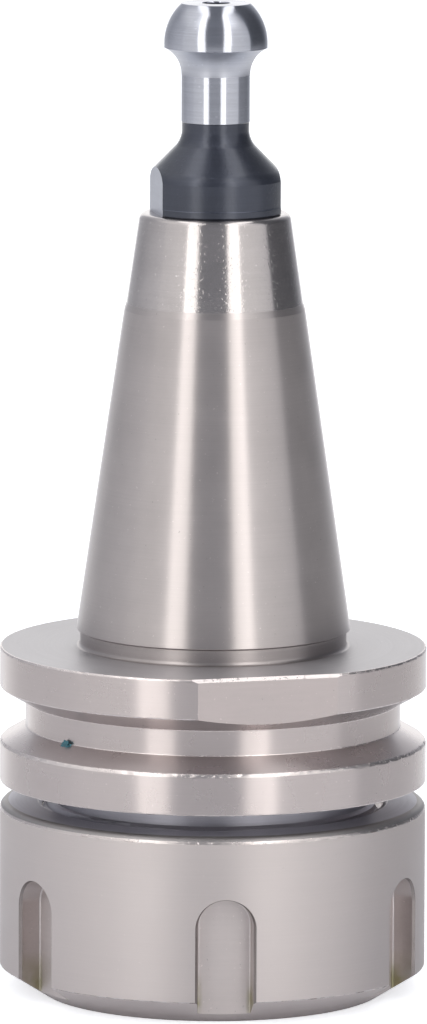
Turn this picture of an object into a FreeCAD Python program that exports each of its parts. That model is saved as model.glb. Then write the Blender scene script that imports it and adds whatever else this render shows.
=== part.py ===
"""Collet chuck holder: a steep-taper tool holder with its clamping nut, collet and pull stud.

Millimetres. The axis of every turned piece is Z, and z = 0 is the nut's front face, on which the
holder stands. The collet is at the nut end and the pull stud is at the top. Each node is one
separate piece: holder_body, clamping_nut, collet and pull_stud.
"""
import FreeCAD
import Part
import math
import os

Vector = FreeCAD.Vector
AXIS = Vector(0, 0, 1)

# --- Steep taper, 7 in 24, size 30 --------------------------------------------------------
GAUGE_DIAMETER = 31.75
GAUGE_Z = 44.1                  # height of the plane where the taper has its gauge diameter
TAPER_PER_LENGTH = 7.0 / 24.0   # change of diameter along the axis
TAPER_LENGTH = 47.8             # from the gauge plane to the small end
TAPER_START = 1.4               # the cone begins this far below the gauge plane
TAPER_TOP_ROUND = 0.8
GROUND_LENGTH = 36.5            # the full cone ends this far above the gauge plane
RELIEF_DEPTH = 0.13             # past that the cone is this much smaller in radius
RELIEF_RAMP = 0.8
NECK_RADIUS = 15.6
NECK_FILLET = 0.5

# --- Flange with the gripper groove --------------------------------------------------------
FLANGE_DIAMETER = 50.0
FLANGE_FACE_BELOW_GAUGE = 3.2
FLANGE_LENGTH = 15.9
GROOVE_CENTRE_BELOW_GAUGE = 11.1
GROOVE_FLOOR_RADIUS = 22.0
GROOVE_FLOOR_WIDTH = 3.0
GROOVE_FLANK_DEG = 30.0         # slope of each flank, from the horizontal
GROOVE_LOWER_CHAMFER = 0.3
FLANGE_TOP_CHAMFER = 0.4
FLANGE_EDGE_BREAK = 0.1
FLAT_DISTANCE = 23.57           # two flats milled on the flange's upper ring, from the axis
FLAT_TURN_DEG = -74.5           # direction of the first flat's normal, from +X
FLAT_BEVEL = 0.6

# --- Nose that carries the nut -------------------------------------------------------------
THREAD_PITCH = 1.5
THREAD_ROOT_RADIUS = 19.06
NOSE_END_Z = 11.0
NOSE_CHAMFER = 0.8
THREAD_END_Z = 23.4
THREAD_RELIEF_RADIUS = 18.7
THREAD_RELIEF_FILLET = 0.6

# --- Bores of the holder -------------------------------------------------------------------
SEAT_DEG = 8.0                  # half angle of the collet seat
SEAT_CLEARANCE = 0.05
SEAT_TOP_Z = 41.2
SEAT_MOUTH_CHAMFER = 0.4
RUN_OUT_RADIUS = 11.0
RUN_OUT_TOP_Z = 48.0
DRILL_RADIUS = 5.1
DRILL_POINT_DEG = 59.0          # half the drill's point angle
STUD_HOLE_RADIUS = 6.0
STUD_HOLE_START_Z = 66.0
PILOT_RADIUS = 6.5
PILOT_DEPTH = 5.0

# --- Clamping nut --------------------------------------------------------------------------
NUT_DIAMETER = 50.0
NUT_HEIGHT = 22.5
NUT_FACE_RADIUS = 20.1
NUT_FRONT_CHAMFER_HEIGHT = 3.09
NUT_TOP_RADIUS = 23.2
NUT_TOP_CHAMFER_HEIGHT = 0.43
NUT_THREAD_RADIUS = 20.05       # bottom of the thread, one clearance outside the nose's thread
NUT_THREAD_START_Z = 10.2
NUT_TOP_COUNTERSINK = 0.3
NUT_CLEARANCE_RADIUS = 17.3
NUT_CONE_DEG = 30.0             # half angle of the cone that presses on the collet
NUT_CONE_CLEARANCE = 0.08
NUT_CONE_TOP_Z = 4.9
NUT_MOUTH_CHAMFER = 0.35
LIP_BOTTOM_Z = 5.95
LIP_TOP_Z = 8.2
LIP_RADIUS = 14.9
LIP_OFFSET = 0.6                # the lip is eccentric, so that the collet tilts in and snaps home
SLOT_COUNT = 6
SLOT_TURN_DEG = -86.8           # direction of the first slot, from +X
SLOT_FLOOR_DISTANCE = 22.07
SLOT_FLOOR_WIDTH = 5.73
SLOT_WALL_DEG = 12.0
SLOT_END_Z = 15.3

# --- Collet --------------------------------------------------------------------------------
COLLET_FRONT_Z = 0.6
COLLET_LENGTH = 40.0
COLLET_BORE_RADIUS = 6.0
COLLET_FACE_RADIUS = 12.8
COLLET_RIM_RADIUS = 15.2
COLLET_RIM_TOP_Z = 5.6
COLLET_GROOVE_RADIUS = 13.9
COLLET_SHOULDER_Z = 8.6
COLLET_SHOULDER_RADIUS = 16.5
COLLET_CHAMFER = 0.4
SLIT_COUNT = 8                  # from each end, in turn
SLIT_WIDTH = 1.0
SLIT_WEB = 5.5                  # metal left at the end that a slit doesn't reach

# --- Pull stud -----------------------------------------------------------------------------
STUD_TOP_Z = 116.4
STUD_COLLAR_RADIUS = 8.0
STUD_COLLAR_FOOT_RADIUS = 7.3
STUD_COLLAR_FOOT_HEIGHT = 1.1
STUD_CONE_CORNER_Z = 96.54      # where the collar's side and its 45 degree cone would meet
STUD_CONE_ROUND = 2.2
STUD_NECK_RADIUS = 4.0
STUD_NECK_ROUND = 2.5
STUD_NECK_TOP_Z = 108.2
STUD_THROAT_ROUND = 3.6
STUD_HEAD_RADIUS = 6.05
STUD_HEAD_LAND = 0.15
STUD_DOME_ROUND = 6.5
STUD_CROWN_RADIUS = 3.9
STUD_HOLE = 1.62
STUD_FLATS = 14.0               # across the two spanner flats
STUD_FLAT_TURN_DEG = 191.3      # direction of the first flat's normal, from +X
STUD_SHANK_RADIUS = 5.9
STUD_SHANK_LENGTH = 23.0
STUD_PILOT_RADIUS = 6.45
STUD_PILOT_LENGTH = 4.6
STUD_SHANK_CHAMFER = 0.8

# --- Values that follow --------------------------------------------------------------------
FLANGE_RADIUS = FLANGE_DIAMETER / 2
FLANGE_TOP_Z = GAUGE_Z - FLANGE_FACE_BELOW_GAUGE
FLANGE_BOTTOM_Z = FLANGE_TOP_Z - FLANGE_LENGTH
GROOVE_CENTRE_Z = GAUGE_Z - GROOVE_CENTRE_BELOW_GAUGE
TAPER_TOP_Z = GAUGE_Z + TAPER_LENGTH
COLLET_BACK_Z = COLLET_FRONT_Z + COLLET_LENGTH


def tan(degrees):
    """Tangent of an angle in degrees."""
    return math.tan(math.radians(degrees))


def taper_radius(z):
    """Radius of the 7 in 24 cone at a height."""
    return GAUGE_DIAMETER / 2 - (z - GAUGE_Z) * TAPER_PER_LENGTH / 2


def collet_radius(z):
    """Radius of the collet's long cone at a height."""
    return COLLET_SHOULDER_RADIUS - (z - COLLET_SHOULDER_Z) * tan(SEAT_DEG)


def seat_radius(z):
    """Radius of the holder's seat at a height, one clearance outside the collet."""
    return collet_radius(z) + SEAT_CLEARANCE / math.cos(math.radians(SEAT_DEG))


def arc_between(start, end, radius, side):
    """Middle point of an arc from start to end; side 1 bulges away from the axis, -1 towards it."""
    chord_r = end[0] - start[0]
    chord_z = end[1] - start[1]
    chord = math.hypot(chord_r, chord_z)
    rise = radius - math.sqrt(radius ** 2 - (chord / 2) ** 2)
    normal_r = chord_z / chord
    normal_z = -chord_r / chord
    if normal_r * side < 0:
        normal_r = -normal_r
        normal_z = -normal_z
    middle_r = (start[0] + end[0]) / 2 + normal_r * rise
    middle_z = (start[1] + end[1]) / 2 + normal_z * rise
    return (middle_r, middle_z)


def turned(outline):
    """Solid of revolution. A corner is (r, z); a corner with an arc before it is (middle, (r, z))."""
    points = []
    middles = []
    for item in outline:
        if isinstance(item[0], tuple):
            middles.append(item[0])
            points.append(item[1])
        else:
            middles.append(None)
            points.append(item)
    edges = []
    for index, end in enumerate(points):
        start = points[index - 1]
        middle = middles[index]
        first = Vector(start[0], 0, start[1])
        last = Vector(end[0], 0, end[1])
        if middle is None:
            edges.append(Part.makeLine(first, last))
        else:
            edges.append(Part.Arc(first, Vector(middle[0], 0, middle[1]), last).toShape())
    face = Part.Face(Part.Wire(edges))
    solid = face.revolve(Vector(0, 0, 0), AXIS, 360)
    if solid.Volume < 0:
        solid.reverse()
    return solid


def with_arc(start, end, radius, side):
    """The end corner of an arc, in the form that turned() reads."""
    return (arc_between(start, end, radius, side), end)


def turned_about_axis(shape, degrees):
    """A copy of a shape turned about the object's axis."""
    copy = shape.copy()
    copy.rotate(Vector(0, 0, 0), AXIS, degrees)
    return copy


def holder_outline():
    """Closed section of the holder: up the outside from the nose, and back down the bores."""
    half_floor = GROOVE_FLOOR_WIDTH / 2
    slope = tan(GROOVE_FLANK_DEG)
    groove_low = GROOVE_CENTRE_Z - half_floor
    groove_high = GROOVE_CENTRE_Z + half_floor
    lower_lip_radius = FLANGE_RADIUS - GROOVE_LOWER_CHAMFER
    lower_lip_z = groove_low - (lower_lip_radius - GROOVE_FLOOR_RADIUS) * slope
    lower_edge_z = lower_lip_z - GROOVE_LOWER_CHAMFER * tan(60)
    upper_edge_z = groove_high + (FLANGE_RADIUS - GROOVE_FLOOR_RADIUS) * slope
    taper_start_z = GAUGE_Z - TAPER_START
    ground_end_z = GAUGE_Z + GROUND_LENGTH
    relief_z = ground_end_z + RELIEF_RAMP
    round_z = TAPER_TOP_Z - TAPER_TOP_ROUND
    round_radius = taper_radius(round_z) - RELIEF_DEPTH
    root_fillet_z = FLANGE_BOTTOM_Z - THREAD_RELIEF_FILLET
    root_fillet_radius = THREAD_RELIEF_RADIUS + THREAD_RELIEF_FILLET
    neck_fillet_z = FLANGE_TOP_Z + NECK_FILLET
    neck_fillet_radius = NECK_RADIUS + NECK_FILLET
    drill_cone_height = (RUN_OUT_RADIUS - DRILL_RADIUS) / tan(DRILL_POINT_DEG)
    stud_cone_height = (STUD_HOLE_RADIUS - DRILL_RADIUS) / tan(DRILL_POINT_DEG)
    pilot_z = TAPER_TOP_Z - PILOT_DEPTH
    outside = [
        (seat_radius(NOSE_END_Z + SEAT_MOUTH_CHAMFER) + SEAT_MOUTH_CHAMFER, NOSE_END_Z),
        (THREAD_ROOT_RADIUS - NOSE_CHAMFER, NOSE_END_Z),
        (THREAD_ROOT_RADIUS, NOSE_END_Z + NOSE_CHAMFER),
        (THREAD_ROOT_RADIUS, THREAD_END_Z),
        (THREAD_RELIEF_RADIUS, THREAD_END_Z + THREAD_ROOT_RADIUS - THREAD_RELIEF_RADIUS),
        (THREAD_RELIEF_RADIUS, root_fillet_z),
        with_arc((THREAD_RELIEF_RADIUS, root_fillet_z), (root_fillet_radius, FLANGE_BOTTOM_Z),
                 THREAD_RELIEF_FILLET, -1),
        (FLANGE_RADIUS - FLANGE_EDGE_BREAK, FLANGE_BOTTOM_Z),
        (FLANGE_RADIUS, FLANGE_BOTTOM_Z + FLANGE_EDGE_BREAK),
        (FLANGE_RADIUS, lower_edge_z),
        (lower_lip_radius, lower_lip_z),
        (GROOVE_FLOOR_RADIUS, groove_low),
        (GROOVE_FLOOR_RADIUS, groove_high),
        (FLANGE_RADIUS, upper_edge_z),
        (FLANGE_RADIUS, FLANGE_TOP_Z - FLANGE_TOP_CHAMFER),
        (FLANGE_RADIUS - FLANGE_TOP_CHAMFER, FLANGE_TOP_Z),
        (neck_fillet_radius, FLANGE_TOP_Z),
        with_arc((neck_fillet_radius, FLANGE_TOP_Z), (NECK_RADIUS, neck_fillet_z), NECK_FILLET, -1),
        (NECK_RADIUS, taper_start_z - (taper_radius(taper_start_z) - NECK_RADIUS) / 2),
        (taper_radius(taper_start_z), taper_start_z),
        (taper_radius(ground_end_z), ground_end_z),
        (taper_radius(relief_z) - RELIEF_DEPTH, relief_z),
        (round_radius, round_z),
        with_arc((round_radius, round_z), (round_radius - TAPER_TOP_ROUND, TAPER_TOP_Z),
                 TAPER_TOP_ROUND, 1),
    ]
    inside = [
        (PILOT_RADIUS, TAPER_TOP_Z),
        (PILOT_RADIUS, pilot_z),
        (STUD_HOLE_RADIUS, pilot_z),
        (STUD_HOLE_RADIUS, STUD_HOLE_START_Z),
        (DRILL_RADIUS, STUD_HOLE_START_Z - stud_cone_height),
        (DRILL_RADIUS, RUN_OUT_TOP_Z + drill_cone_height),
        (RUN_OUT_RADIUS, RUN_OUT_TOP_Z),
        (RUN_OUT_RADIUS, SEAT_TOP_Z),
        (seat_radius(SEAT_TOP_Z), SEAT_TOP_Z),
        (seat_radius(NOSE_END_Z + SEAT_MOUTH_CHAMFER), NOSE_END_Z + SEAT_MOUTH_CHAMFER),
    ]
    return outside + inside


def flange_flat_cutter():
    """Block that mills one flat on the upper ring, with a bevel along the flat's top edge."""
    half_width = FLANGE_RADIUS
    depth = FLANGE_RADIUS - FLAT_DISTANCE + 1.0
    low_z = GROOVE_CENTRE_Z
    section = [
        Vector(FLAT_DISTANCE, -half_width, low_z),
        Vector(FLAT_DISTANCE + depth, -half_width, low_z),
        Vector(FLAT_DISTANCE + depth, -half_width, FLANGE_TOP_Z + depth),
        Vector(FLAT_DISTANCE - FLAT_BEVEL - depth, -half_width, FLANGE_TOP_Z + depth),
        Vector(FLAT_DISTANCE, -half_width, FLANGE_TOP_Z - FLAT_BEVEL),
    ]
    face = Part.Face(Part.makePolygon(section + [section[0]]))
    return face.extrude(Vector(0, 2 * half_width, 0))


def make_holder_body():
    """Taper, flange and threaded nose, turned and ground from one piece."""
    body = turned(holder_outline())
    for turn in (FLAT_TURN_DEG, FLAT_TURN_DEG + 180):
        body = body.cut(turned_about_axis(flange_flat_cutter(), turn))
    return body


def nut_outline():
    """Closed section of the nut without its lip: up the outside and back down the bore."""
    radius = NUT_DIAMETER / 2
    cone_clearance = NUT_CONE_CLEARANCE / math.cos(math.radians(NUT_CONE_DEG))
    face_opening = COLLET_FACE_RADIUS - COLLET_FRONT_Z * tan(NUT_CONE_DEG) + cone_clearance
    cone_top_radius = face_opening + NUT_CONE_TOP_Z * tan(NUT_CONE_DEG)
    mouth_z = NUT_MOUTH_CHAMFER
    mouth_radius = face_opening + mouth_z * tan(NUT_CONE_DEG)
    return [
        (NUT_FACE_RADIUS, 0),
        (radius, NUT_FRONT_CHAMFER_HEIGHT),
        (radius, NUT_HEIGHT - NUT_TOP_CHAMFER_HEIGHT),
        (NUT_TOP_RADIUS, NUT_HEIGHT),
        (NUT_THREAD_RADIUS + NUT_TOP_COUNTERSINK, NUT_HEIGHT),
        (NUT_THREAD_RADIUS, NUT_HEIGHT - NUT_TOP_COUNTERSINK),
        (NUT_THREAD_RADIUS, NUT_THREAD_START_Z),
        (NUT_CLEARANCE_RADIUS, NUT_THREAD_START_Z),
        (NUT_CLEARANCE_RADIUS, LIP_TOP_Z),
        (cone_top_radius, LIP_TOP_Z),
        (cone_top_radius, NUT_CONE_TOP_Z),
        (mouth_radius, mouth_z),
        (mouth_radius + NUT_MOUTH_CHAMFER, 0),
    ]


def slot_cutter():
    """Tapered milling cut for one spanner slot, open at the nut's front, along +X."""
    reach = NUT_DIAMETER / 2 + 1.0
    depth = reach - SLOT_FLOOR_DISTANCE
    floor_half = SLOT_FLOOR_WIDTH / 2
    reach_half = floor_half + depth * tan(SLOT_WALL_DEG)
    surface_half = floor_half + (NUT_DIAMETER / 2 - SLOT_FLOOR_DISTANCE) * tan(SLOT_WALL_DEG)
    centre_z = SLOT_END_Z - surface_half
    bottom_z = -1.0
    section = [
        Vector(SLOT_FLOOR_DISTANCE, -floor_half, bottom_z),
        Vector(reach, -reach_half, bottom_z),
        Vector(reach, reach_half, bottom_z),
        Vector(SLOT_FLOOR_DISTANCE, floor_half, bottom_z),
    ]
    face = Part.Face(Part.makePolygon(section + [section[0]]))
    straight = face.extrude(Vector(0, 0, centre_z - bottom_z))
    centre = Vector(SLOT_FLOOR_DISTANCE, 0, centre_z)
    rounded = Part.makeCone(floor_half, reach_half, depth, centre, Vector(1, 0, 0))
    return straight.fuse(rounded)


def make_clamping_nut():
    """One-piece nut: outer ring, extraction lip for the collet, and six spanner slots."""
    ring = turned(nut_outline())
    lip_outside = NUT_CLEARANCE_RADIUS
    lip_height = LIP_TOP_Z - LIP_BOTTOM_Z
    lip = Part.makeCylinder(lip_outside, lip_height, Vector(0, 0, LIP_BOTTOM_Z))
    opening = Part.makeCylinder(LIP_RADIUS, lip_height, Vector(LIP_OFFSET, 0, LIP_BOTTOM_Z))
    nut = ring.fuse(lip.cut(opening))
    for index in range(SLOT_COUNT):
        turn = SLOT_TURN_DEG + index * 360 / SLOT_COUNT
        nut = nut.cut(turned_about_axis(slot_cutter(), turn))
    return nut.removeSplitter()


def collet_outline():
    """Closed section of the collet: front cone, groove, long cone and bore."""
    front_cone_top = COLLET_FRONT_Z + (COLLET_RIM_RADIUS - COLLET_FACE_RADIUS) / tan(NUT_CONE_DEG)
    return [
        (COLLET_BORE_RADIUS + COLLET_CHAMFER, COLLET_FRONT_Z),
        (COLLET_FACE_RADIUS, COLLET_FRONT_Z),
        (COLLET_RIM_RADIUS, front_cone_top),
        (COLLET_RIM_RADIUS, COLLET_RIM_TOP_Z),
        (COLLET_GROOVE_RADIUS, COLLET_RIM_TOP_Z),
        (COLLET_GROOVE_RADIUS, COLLET_SHOULDER_Z),
        (COLLET_SHOULDER_RADIUS - COLLET_CHAMFER, COLLET_SHOULDER_Z),
        (collet_radius(COLLET_SHOULDER_Z + COLLET_CHAMFER), COLLET_SHOULDER_Z + COLLET_CHAMFER),
        (collet_radius(COLLET_BACK_Z - COLLET_CHAMFER), COLLET_BACK_Z - COLLET_CHAMFER),
        (collet_radius(COLLET_BACK_Z) - COLLET_CHAMFER, COLLET_BACK_Z),
        (COLLET_BORE_RADIUS + COLLET_CHAMFER, COLLET_BACK_Z),
        (COLLET_BORE_RADIUS, COLLET_BACK_Z - COLLET_CHAMFER),
        (COLLET_BORE_RADIUS, COLLET_FRONT_Z + COLLET_CHAMFER),
    ]


def make_collet():
    """Spring collet, slit from both ends in turn."""
    collet = turned(collet_outline())
    slit_length = COLLET_LENGTH - SLIT_WEB + 1.0
    slit_reach = COLLET_SHOULDER_RADIUS + 1.0
    slit = Part.makeBox(slit_reach, SLIT_WIDTH, slit_length, Vector(0, -SLIT_WIDTH / 2, 0))
    pitch_deg = 360 / SLIT_COUNT
    for index in range(SLIT_COUNT):
        front = slit.copy()
        front.translate(Vector(0, 0, COLLET_FRONT_Z - 1.0))
        back = slit.copy()
        back.translate(Vector(0, 0, COLLET_FRONT_Z + SLIT_WEB))
        collet = collet.cut(turned_about_axis(front, index * pitch_deg))
        collet = collet.cut(turned_about_axis(back, (index + 0.5) * pitch_deg))
    return collet


def stud_outline():
    """Closed section of the pull stud: shank, pilot, collar, 45 degree cone, neck and head."""
    shank_z = TAPER_TOP_Z - STUD_SHANK_LENGTH
    pilot_z = TAPER_TOP_Z - STUD_PILOT_LENGTH
    corner_reach = STUD_CONE_ROUND * tan(22.5)
    cone_start = (STUD_COLLAR_RADIUS, STUD_CONE_CORNER_Z - corner_reach)
    step = corner_reach * math.sqrt(0.5)
    cone_first = (STUD_COLLAR_RADIUS - step, STUD_CONE_CORNER_Z + step)
    root_z = STUD_CONE_CORNER_Z + STUD_COLLAR_RADIUS - STUD_NECK_RADIUS
    root_reach = STUD_NECK_ROUND * tan(22.5)
    step = root_reach * math.sqrt(0.5)
    cone_last = (STUD_NECK_RADIUS + step, root_z - step)
    neck_low = (STUD_NECK_RADIUS, root_z + root_reach)
    neck_high = (STUD_NECK_RADIUS, STUD_NECK_TOP_Z)
    throat_reach = STUD_NECK_RADIUS + STUD_THROAT_ROUND - STUD_HEAD_RADIUS
    throat_height = math.sqrt(STUD_THROAT_ROUND ** 2 - throat_reach ** 2)
    head_low = (STUD_HEAD_RADIUS, STUD_NECK_TOP_Z + throat_height)
    head_high = (STUD_HEAD_RADIUS, head_low[1] + STUD_HEAD_LAND)
    crown = (STUD_CROWN_RADIUS, STUD_TOP_Z)
    return [
        (STUD_HOLE, shank_z),
        (STUD_SHANK_RADIUS - STUD_SHANK_CHAMFER, shank_z),
        (STUD_SHANK_RADIUS, shank_z + STUD_SHANK_CHAMFER),
        (STUD_SHANK_RADIUS, pilot_z),
        (STUD_PILOT_RADIUS, pilot_z),
        (STUD_PILOT_RADIUS, TAPER_TOP_Z),
        (STUD_COLLAR_FOOT_RADIUS, TAPER_TOP_Z),
        (STUD_COLLAR_RADIUS, TAPER_TOP_Z + STUD_COLLAR_FOOT_HEIGHT),
        cone_start,
        with_arc(cone_start, cone_first, STUD_CONE_ROUND, 1),
        cone_last,
        with_arc(cone_last, neck_low, STUD_NECK_ROUND, -1),
        neck_high,
        with_arc(neck_high, head_low, STUD_THROAT_ROUND, -1),
        head_high,
        with_arc(head_high, crown, STUD_DOME_ROUND, 1),
        (STUD_HOLE, STUD_TOP_Z),
    ]


def make_pull_stud():
    """Pull stud with a coolant hole and two spanner flats on its collar."""
    stud = turned(stud_outline())
    block_width = 2 * STUD_COLLAR_RADIUS
    block_height = STUD_TOP_Z - TAPER_TOP_Z
    corner = Vector(STUD_FLATS / 2, -block_width / 2, TAPER_TOP_Z)
    block = Part.makeBox(block_width, block_width, block_height, corner)
    for turn in (STUD_FLAT_TURN_DEG, STUD_FLAT_TURN_DEG + 180):
        stud = stud.cut(turned_about_axis(block, turn))
    return stud


def main():
    """Write one STEP file for each piece."""
    os.makedirs("parts", exist_ok=True)
    pieces = {
        "holder_body": make_holder_body(),
        "clamping_nut": make_clamping_nut(),
        "collet": make_collet(),
        "pull_stud": make_pull_stud(),
    }
    for name, shape in pieces.items():
        if not shape.isValid() or len(shape.Solids) != 1:
            raise RuntimeError(name + " isn't one valid solid")
        shape.exportStep("parts/" + name + ".step")
        box = shape.BoundBox
        print(f"{name}: {shape.Volume / 1000:.1f} cm3, z {box.ZMin:.2f} to {box.ZMax:.2f}")


main()
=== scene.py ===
"""Looks of a steep-taper collet chuck holder: its turned pieces, threads, finishes and studio."""
import math
import random

import bmesh
import bpy
from bpy.props import FloatProperty, FloatVectorProperty, IntProperty, PointerProperty
from bpy.types import Operator, Panel, PropertyGroup
from mathutils import Matrix, Vector, noise


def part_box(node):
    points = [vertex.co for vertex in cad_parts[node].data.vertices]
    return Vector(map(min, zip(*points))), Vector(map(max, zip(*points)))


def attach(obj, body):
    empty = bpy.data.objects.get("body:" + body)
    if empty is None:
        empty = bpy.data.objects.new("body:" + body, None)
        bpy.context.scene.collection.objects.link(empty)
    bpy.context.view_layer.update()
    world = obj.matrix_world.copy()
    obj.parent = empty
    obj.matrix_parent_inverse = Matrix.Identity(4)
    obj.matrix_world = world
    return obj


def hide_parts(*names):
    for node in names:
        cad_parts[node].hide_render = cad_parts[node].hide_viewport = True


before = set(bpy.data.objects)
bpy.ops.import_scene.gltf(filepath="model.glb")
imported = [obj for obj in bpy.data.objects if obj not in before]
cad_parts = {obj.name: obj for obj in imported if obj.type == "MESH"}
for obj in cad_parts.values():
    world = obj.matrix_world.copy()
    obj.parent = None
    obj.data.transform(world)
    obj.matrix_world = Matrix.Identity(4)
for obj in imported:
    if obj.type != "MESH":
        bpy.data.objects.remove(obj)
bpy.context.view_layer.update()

bl_info = {
    "name": "Collet Chuck Holder",
    "version": (1, 0, 0),
    "blender": (4, 5, 0),
    "location": "3D View > Sidebar > Chuck",
    "description": "Builds the pieces, finishes and studio of a collet chuck holder",
    "category": "Add Mesh",
}

MM = 0.001
HOLDER_LOW, HOLDER_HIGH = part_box("holder_body")
NUT_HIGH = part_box("clamping_nut")[1]
STUD_LOW, STUD_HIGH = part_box("pull_stud")

SHARP_DEG = 4.0             # two faces that meet at more than this keep a crisp edge
WORN_SHARP_DEG = 30.0       # the same beside a broken edge
SMALL_ROUND = 0.5 * MM      # a smaller rounding is a broken edge
ROUND_STEP_DEG = 12.0       # turn of one face in a broken edge
ARC_STEP_DEG = 3.0          # turn of one face in a long curve
SUPPORT_GAP = 0.12 * MM     # how far beside a broken edge its shading ends
# Where EDGE_LAYER is 1, the shaders lighten the colour, partly as wear and partly as a painted
# highlight.
EDGE_LAYER = "edge"         # 1 on the broken edges, where handling has burnished the steel
NICK_SIZE = 0.9 * MM        # how far apart the nicks along an edge are
NICK_DEPTH = 0.13 * MM
NICK_RADIUS = 22.5 * MM     # edges within this radius are out of reach
NICK_GAP = 0.15             # share of the noise that leaves an edge whole between large nicks
NICK_FINE = 2.7             # how much finer the small nicks are than the large ones
SKIN = 0.01 * MM            # a face whose centre is this near to a surface is part of it
SLACK = 0.05 * MM           # room for the rounding beside a surface
ALIGNED = 0.9999            # a face whose normal has this much of a direction faces that way
UPWARD = 0.7                # the same for a face that only looks more up than sideways
DRILL_SLOPE = math.radians(31)  # slope of the cone that a drill's point leaves
THREAD_BITE = 0.05 * MM     # how deep a thread's foot is in its wall, so that no gap shows
THREAD_LEAD = 1.0 * MM      # how far above the nose's end the threads start
FADE_TURNS = 0.2            # turns over which a thread runs out at its ends


# --- Sizes and colours that a user may change ------------------------------------------------


def linear(hex_colour):
    """Linear red, green and blue of an sRGB hex colour."""
    channels = [int(hex_colour[i:i + 2], 16) / 255 for i in (1, 3, 5)]
    return [c / 12.92 if c <= 0.04045 else ((c + 0.055) / 1.055) ** 2.4 for c in channels]


def size(name, mm, description):
    """A length property, given in millimetres and kept in metres."""
    return FloatProperty(name=name, default=mm * MM, description=description, unit="LENGTH",
                         subtype="DISTANCE", precision=5)


def angle(name, degrees, description):
    """An angle property, given in degrees and kept in radians."""
    return FloatProperty(name=name, default=math.radians(degrees), description=description,
                         unit="ROTATION", subtype="ANGLE")


def colour(name, hex_colour, description):
    """A colour property, given as sRGB hex and kept linear."""
    return FloatVectorProperty(name=name, default=linear(hex_colour), description=description,
                               subtype="COLOR", size=3, min=0, max=1)


def steps(count, description):
    """A property that counts the faces of one turn."""
    return IntProperty(name="Steps", default=count, min=24, description=description)


class HolderSizes(PropertyGroup):
    """Taper, flange, nose and bores of the holder."""
    gauge_radius: size("Gauge radius", 15.875, "Radius of the taper at the gauge plane")
    gauge_z: size("Gauge plane", 44.1, "Height of the gauge plane")
    ground_end_z: size("Ground end", 80.6, "Height where the taper's full cone ends")
    relief_depth: size("Relief depth", 0.13, "How much smaller the taper is above that")
    relief_ramp: size("Relief ramp", 0.8, "Height over which it gets smaller")
    neck_radius: size("Neck radius", 15.6, "Radius of the undercut below the taper")
    flange_face_z: size("Flange face", 40.9, "Height of the flange's upper face")
    flange_foot_z: size("Flange foot", 25.0, "Height of the flange's lower face")
    foot_drop: size("Taper foot", 1.16, "How far the taper runs below its gauge plane")
    groove_z: size("Groove centre", 33.0, "Height of the gripper groove's centre")
    groove_radius: size("Groove radius", 22.0, "Radius of the groove's floor")
    groove_width: size("Groove floor", 3.0, "Width of the groove's floor")
    groove_slope: angle("Groove flank", 30.0, "Slope of a flank from the horizontal")
    flat_distance: size("Flat distance", 23.57, "Distance of a milled flat from the axis")
    flat_turn: angle("Flat turn", -74.5, "Direction of the first flat's normal, from +X")
    flat_bevel: size("Flat bevel", 0.38, "Bevel on a flat's top edge")
    thread_root: size("Thread root", 19.06, "Root radius of the nose's thread")
    thread_end_z: size("Thread end", 22.3, "Height where the thread's root cylinder ends")
    relief_radius: size("Thread relief", 18.7, "Radius of the relief above the thread")
    seat_slope: angle("Seat slope", 8.0, "Half angle of the collet seat")
    seat_radius: size("Seat radius", 16.213, "Radius of the seat at the nose's end")
    seat_top_z: size("Seat top", 41.2, "Height where the seat ends")
    run_out_radius: size("Run-out radius", 11.0, "Radius of the bore above the seat")
    run_out_top_z: size("Run-out top", 48.0, "Height where that bore ends")
    drill_radius: size("Drilling", 5.1, "Radius of the coolant drilling")
    stud_hole_radius: size("Stud hole", 6.0, "Radius of the hole for the stud's shank")
    stud_hole_z: size("Stud hole foot", 66.0, "Height where the stud's hole starts")
    pilot_radius: size("Pilot radius", 6.5, "Radius of the stud's locating bore")
    pilot_depth: size("Pilot depth", 5.0, "Depth of the stud's locating bore")
    steps: steps(480, "Faces around the axis")


class NutSizes(PropertyGroup):
    """Outside, slots and bores of the clamping nut."""
    face_radius: size("Face radius", 20.1, "Radius of the front face")
    front_chamfer: size("Front chamfer", 3.09, "Height of the front chamfer")
    top_radius: size("Top radius", 24.0, "Radius where the top face starts to fall")
    top_fall: size("Top fall", 0.86, "How far the top falls towards its outer edge")
    thread_radius: size("Thread bore", 20.05, "Radius at the bottom of the nut's thread")
    thread_z: size("Thread start", 10.2, "Height where the thread's bore starts")
    clearance_radius: size("Clearance", 17.3, "Radius of the room around the collet")
    cone_slope: angle("Cone slope", 30.0, "Half angle of the cone that presses on the collet")
    mouth_radius: size("Mouth radius", 12.546, "Radius of that cone at the front face")
    cone_top_z: size("Cone top", 4.9, "Height where that cone ends")
    lip_low_z: size("Lip foot", 5.95, "Lower face of the extraction lip")
    lip_high_z: size("Lip top", 8.2, "Upper face of the extraction lip")
    lip_radius: size("Lip radius", 14.9, "Radius of the lip's opening")
    lip_offset: size("Lip offset", 0.6, "How far the lip's opening is off the axis")
    slots: IntProperty(name="Slots", default=6, min=3, description="Number of spanner slots")
    slot_turn: angle("Slot turn", -86.3, "Direction of the first slot, from +X")
    slot_distance: size("Slot floor", 22.07, "Distance of a slot's floor from the axis")
    slot_width: size("Slot width", 6.19, "Width of a slot's floor")
    slot_slope: angle("Slot wall", 3.0, "Slope of a slot's walls")
    slot_end_z: size("Slot end", 15.1, "Height of a slot's round end")
    slot_fillet: size("Slot fillet", 0.2, "Fillet between a slot's floor and walls")
    stain_top_z: size("Stain top", 6.2, "Height of the oil stain in a slot's corners")
    slot_break: size("Slot edge", 0.34, "Broken edge around a slot")
    slot_spread: FloatProperty(name="Slot spread", default=0.88,
                               description="Spread of a slot's broken edge for its depth")
    steps: steps(480, "Faces around the axis")


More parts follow.
